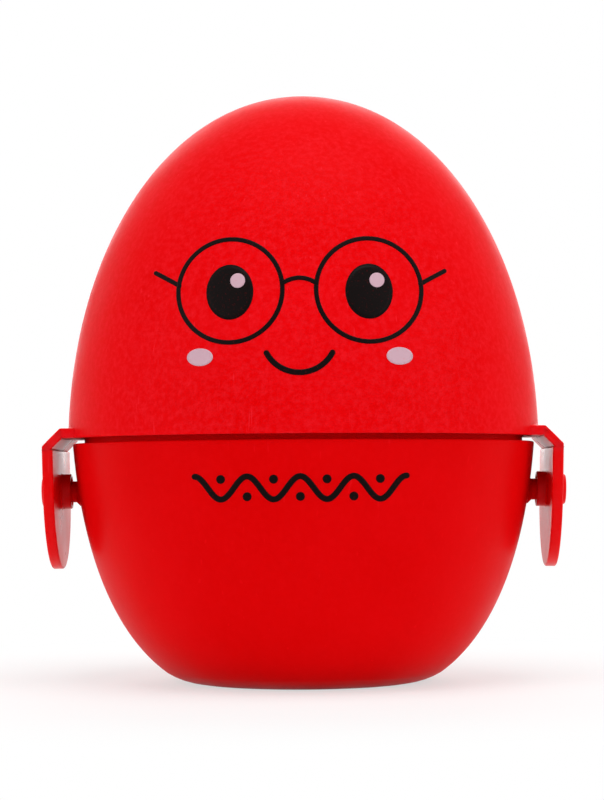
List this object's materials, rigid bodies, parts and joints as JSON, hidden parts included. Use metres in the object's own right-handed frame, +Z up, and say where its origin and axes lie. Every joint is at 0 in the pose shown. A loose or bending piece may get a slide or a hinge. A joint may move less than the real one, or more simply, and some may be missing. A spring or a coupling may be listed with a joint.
{
  "type": "egg-shaped latching case",
  "caption": "Egg-shaped plastic case with a flat foot, a lift-off domed lid and a living-hinge strap latch on each side that snaps over a stud on the cup.",
  "frame": {"origin": "centre of the foot, on the surface that the case stands on", "axes": "+Z up along the egg's axis, +X through the right-hand latch as seen from the printed front, the printed front faces -Y"},
  "size_m": [0.0646, 0.0578, 0.072],
  "materials": {
    "cup_red": "satin",
    "lid_red": "satin",
    "latch_red": "satin",
    "print_black": "satin",
    "print_grey": "satin"
  },
  "bodies": {
    "cup": {"lower_shell": "cup_red"},
    "lid": {"upper_shell": "lid_red", "left_upper_film": "latch_red", "right_upper_film": "latch_red"},
    "left_link": {"left_link": "latch_red"},
    "left_strap": {"left_strap": "latch_red", "left_lower_film": "latch_red"},
    "right_link": {"right_link": "latch_red"},
    "right_strap": {"right_strap": "latch_red", "right_lower_film": "latch_red"}
  },
  "joints": [
    {"name": "lid_lift", "type": "slide", "parent": "cup", "child": "lid", "axis": [0, 0, 1], "range_m": [0, 0.075]},
    {"name": "left_link_fold", "type": "hinge", "parent": "lid", "child": "left_link", "pos_m": [-0.0291, 0, 0.03105], "axis": [0, 1, 0], "range_deg": [0, 60], "deforming": ["left_upper_film"]},
    {"name": "left_strap_fold", "type": "hinge", "parent": "left_link", "child": "left_strap", "pos_m": [-0.03125, 0, 0.0289], "axis": [0, 1, 0], "range_deg": [0, 90], "deforming": ["left_lower_film"]},
    {"name": "right_link_fold", "type": "hinge", "parent": "lid", "child": "right_link", "pos_m": [0.0291, 0, 0.03105], "axis": [0, -1, 0], "range_deg": [0, 60], "deforming": ["right_upper_film"]},
    {"name": "right_strap_fold", "type": "hinge", "parent": "right_link", "child": "right_strap", "pos_m": [0.03125, 0, 0.0289], "axis": [0, -1, 0], "range_deg": [0, 90], "deforming": ["right_lower_film"]}
  ]
}
